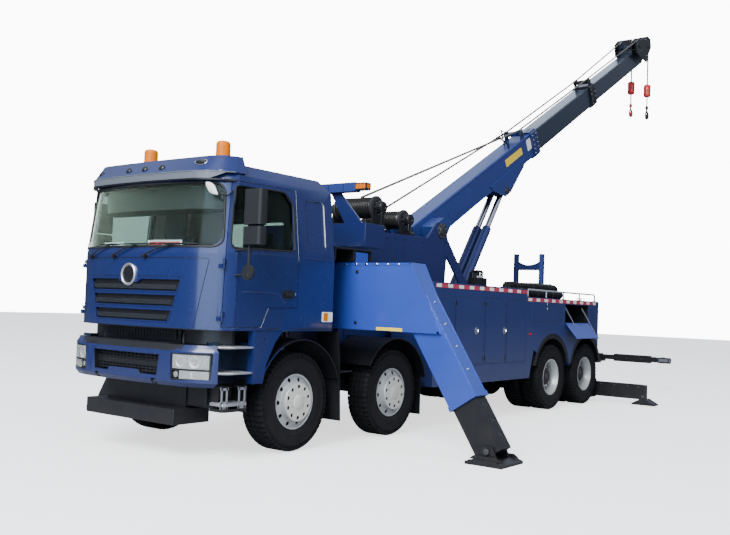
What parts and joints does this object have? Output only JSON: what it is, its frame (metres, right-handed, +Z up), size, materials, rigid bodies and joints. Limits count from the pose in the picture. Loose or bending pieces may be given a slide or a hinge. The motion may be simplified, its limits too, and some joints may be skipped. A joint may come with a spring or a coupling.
{
  "type": "heavy 8x4 tow truck with telescopic boom",
  "caption": "Heavy cab-over tow truck on four axles with a telescopic boom raised over its rear, twin winches, hooks, legs out and a rear underlift.",
  "frame": {"origin": "centre of the whole truck's box, on the ground", "axes": "+X forward, +Y to the truck's left, +Z up"},
  "size_m": [15.0907, 6.47, 8.3693],
  "materials": {
    "blue_paint": "gloss",
    "boom_paint": "gloss",
    "black_paint": "satin",
    "tyre": "matte",
    "rim_silver": "satin",
    "glass": "clear",
    "trim_grey": "satin",
    "lamp_lens": "clear",
    "cabin_trim": "matte",
    "cast_steel": "rough",
    "cylinder_paint": "gloss",
    "rod_chrome": "polished",
    "hook_red": "gloss",
    "step_metal": "satin"
  },
  "bodies": {
    "root": {"axles": "cast_steel", "ballast": "black_paint", "boom_rest": "blue_paint", "bumper": "blue_paint", "cab_glass": "glass", "cab_interior": "cabin_trim", "cab_shell": "blue_paint", "cab_steps": "step_metal", "chassis_frame": "black_paint", "engine": "cast_steel", "grille": "trim_grey", "lamps": "lamp_lens", "light_bar": "blue_paint", "mudguards": "blue_paint", "pedestal": "blue_paint", "rear_body": "blue_paint", "rear_sleeve": "black_paint", "visor": "blue_paint", "winches": "cast_steel"},
    "wheel_1_left": {"tyre_1_left": "tyre", "rim_1_left": "rim_silver"},
    "knuckle_1_left": {"knuckle_1_left": "cast_steel"},
    "wheel_1_right": {"tyre_1_right": "tyre", "rim_1_right": "rim_silver"},
    "knuckle_1_right": {"knuckle_1_right": "cast_steel"},
    "wheel_2_left": {"tyre_2_left": "tyre", "rim_2_left": "rim_silver"},
    "knuckle_2_left": {"knuckle_2_left": "cast_steel"},
    "wheel_2_right": {"tyre_2_right": "tyre", "rim_2_right": "rim_silver"},
    "knuckle_2_right": {"knuckle_2_right": "cast_steel"},
    "wheel_3_left": {"tyre_3_left": "tyre", "rim_3_left": "rim_silver"},
    "wheel_3_right": {"tyre_3_right": "tyre", "rim_3_right": "rim_silver"},
    "wheel_4_left": {"tyre_4_left": "tyre", "rim_4_left": "rim_silver"},
    "wheel_4_right": {"tyre_4_right": "tyre", "rim_4_right": "rim_silver"},
    "door_left": {"door_left": "blue_paint", "door_glass_left": "glass"},
    "door_right": {"door_right": "blue_paint", "door_glass_right": "glass"},
    "locker_hatch": {"locker_hatch": "blue_paint"},
    "boom_base": {"boom_base": "blue_paint"},
    "boom_middle": {"boom_middle": "boom_paint"},
    "boom_tip": {"boom_tip": "boom_paint"},
    "lift_barrels": {"lift_barrels": "cylinder_paint"},
    "lift_rods": {"lift_rods": "rod_chrome"},
    "hooks": {"hooks": "hook_red"},
    "front_outrigger_left": {"front_outrigger_left": "blue_paint"},
    "front_leg_left": {"front_leg_left": "black_paint"},
    "rear_outrigger_left": {"rear_outrigger_left": "black_paint"},
    "front_outrigger_right": {"front_outrigger_right": "blue_paint"},
    "front_leg_right": {"front_leg_right": "black_paint"},
    "rear_outrigger_right": {"rear_outrigger_right": "black_paint"},
    "underlift_boom": {"underlift_boom": "black_paint"},
    "underlift_arm": {"underlift_arm": "black_paint"},
    "crossbar": {"crossbar": "black_paint"}
  },
  "joints": [
    {"name": "steer_1_left", "type": "hinge", "parent": "root", "child": "knuckle_1_left", "pos_m": [6.15089, 0.85, 0.535], "axis": [0, 0, 1], "range_deg": [-32, 32]},
    {"name": "roll_1_left", "type": "hinge", "parent": "knuckle_1_left", "child": "wheel_1_left", "pos_m": [6.15089, 1.02, 0.535], "axis": [0, 1, 0], "continuous": true},
    {"name": "steer_1_right", "type": "hinge", "parent": "root", "child": "knuckle_1_right", "pos_m": [6.15089, -0.85, 0.535], "axis": [0, 0, 1], "range_deg": [-32, 32]},
    {"name": "roll_1_right", "type": "hinge", "parent": "knuckle_1_right", "child": "wheel_1_right", "pos_m": [6.15089, -1.02, 0.535], "axis": [0, 1, 0], "continuous": true},
    {"name": "steer_2_left", "type": "hinge", "parent": "root", "child": "knuckle_2_left", "pos_m": [4.35089, 0.85, 0.535], "axis": [0, 0, 1], "range_deg": [-23, 23]},
    {"name": "roll_2_left", "type": "hinge", "parent": "knuckle_2_left", "child": "wheel_2_left", "pos_m": [4.35089, 1.02, 0.535], "axis": [0, 1, 0], "continuous": true},
    {"name": "steer_2_right", "type": "hinge", "parent": "root", "child": "knuckle_2_right", "pos_m": [4.35089, -0.85, 0.535], "axis": [0, 0, 1], "range_deg": [-23, 23]},
    {"name": "roll_2_right", "type": "hinge", "parent": "knuckle_2_right", "child": "wheel_2_right", "pos_m": [4.35089, -1.02, 0.535], "axis": [0, 1, 0], "continuous": true},
    {"name": "roll_3_left", "type": "hinge", "parent": "root", "child": "wheel_3_left", "pos_m": [-0.15911, 0.9175, 0.535], "axis": [0, 1, 0], "continuous": true},
    {"name": "roll_3_right", "type": "hinge", "parent": "root", "child": "wheel_3_right", "pos_m": [-0.15911, -0.9175, 0.535], "axis": [0, 1, 0], "continuous": true},
    {"name": "roll_4_left", "type": "hinge", "parent": "root", "child": "wheel_4_left", "pos_m": [-1.55911, 0.9175, 0.535], "axis": [0, 1, 0], "continuous": true},
    {"name": "roll_4_right", "type": "hinge", "parent": "root", "child": "wheel_4_right", "pos_m": [-1.55911, -0.9175, 0.535], "axis": [0, 1, 0], "continuous": true},
    {"name": "door_left_hinge", "type": "hinge", "parent": "root", "child": "door_left", "pos_m": [7.25689, 1.131, 2], "axis": [0, 0, -1], "range_deg": [0, 68]},
    {"name": "door_right_hinge", "type": "hinge", "parent": "root", "child": "door_right", "pos_m": [7.25689, -1.131, 2], "axis": [0, 0, 1], "range_deg": [0, 68]},
    {"name": "locker_hatch_hinge", "type": "hinge", "parent": "root", "child": "locker_hatch", "pos_m": [-0.62911, 1.257, 1.428], "axis": [1, 0, 0], "range_deg": [0, 140]},
    {"name": "boom_lift", "type": "hinge", "parent": "root", "child": "boom_base", "pos_m": [2.15089, 0, 2.77], "axis": [0, 1, 0], "range_deg": [-26.5, 19]},
    {"name": "boom_middle_slide", "type": "slide", "parent": "boom_base", "child": "boom_middle", "axis": [-0.8746, 0, 0.4848], "range_m": [-2.83, 0]},
    {"name": "boom_tip_slide", "type": "slide", "parent": "boom_middle", "child": "boom_tip", "axis": [-0.8746, 0, 0.4848], "range_m": [-2.63, 0]},
    {"name": "lift_barrels_hinge", "type": "hinge", "parent": "root", "child": "lift_barrels", "pos_m": [1.25089, 0, 1.445], "axis": [0, 1, 0], "range_deg": [-22.89, 16.55]},
    {"name": "lift_rods_slide", "type": "slide", "parent": "lift_barrels", "child": "lift_rods", "axis": [-0.5831, 0, 0.8124], "range_m": [-0.702, 0.5047]},
    {"name": "hooks_swing", "type": "hinge", "parent": "boom_tip", "child": "hooks", "pos_m": [-7.25891, 0, 8.14944], "axis": [0, 1, 0], "range_deg": [-19.5, 27]},
    {"name": "front_outrigger_left_slide", "type": "slide", "parent": "root", "child": "front_outrigger_left", "axis": [0, 1, 0], "range_m": [-1.3, 0]},
    {"name": "front_leg_left_slide", "type": "slide", "parent": "front_outrigger_left", "child": "front_leg_left", "axis": [0, 0.5402, -0.8415], "range_m": [-0.43, 0]},
    {"name": "rear_outrigger_left_slide", "type": "slide", "parent": "root", "child": "rear_outrigger_left", "axis": [0, 1, 0], "range_m": [-0.74, 0]},
    {"name": "front_outrigger_right_slide", "type": "slide", "parent": "root", "child": "front_outrigger_right", "axis": [0, -1, 0], "range_m": [-1.3, 0]},
    {"name": "front_leg_right_slide", "type": "slide", "parent": "front_outrigger_right", "child": "front_leg_right", "axis": [0, -0.5402, -0.8415], "range_m": [-0.43, 0]},
    {"name": "rear_outrigger_right_slide", "type": "slide", "parent": "root", "child": "rear_outrigger_right", "axis": [0, -1, 0], "range_m": [-0.74, 0]},
    {"name": "underlift_tilt", "type": "hinge", "parent": "root", "child": "underlift_boom", "pos_m": [-2.36911, 0, 0.64], "axis": [0, 1, 0], "range_deg": [-5, 18]},
    {"name": "underlift_slide", "type": "slide", "parent": "underlift_boom", "child": "underlift_arm", "axis": [-1, 0, 0], "range_m": [-1, 0]},
    {"name": "crossbar_swivel", "type": "hinge", "parent": "underlift_arm", "child": "crossbar", "pos_m": [-5.39911, 0, 0.64], "axis": [0, 0, 1], "range_deg": [-40, 40]}
  ],
  "couplings": [
    {"joint": "steer_1_right", "follows": "steer_1_left", "ratio": 1},
    {"joint": "steer_2_left", "follows": "steer_1_left", "ratio": 0.7},
    {"joint": "steer_2_right", "follows": "steer_1_left", "ratio": 0.7},
    {"joint": "lift_barrels_hinge", "follows": "boom_lift", "ratio": 0.845},
    {"joint": "lift_rods_slide", "follows": "boom_lift", "m_per_rad": 1.5069},
    {"joint": "hooks_swing", "follows": "boom_lift", "ratio": -1}
  ]
}
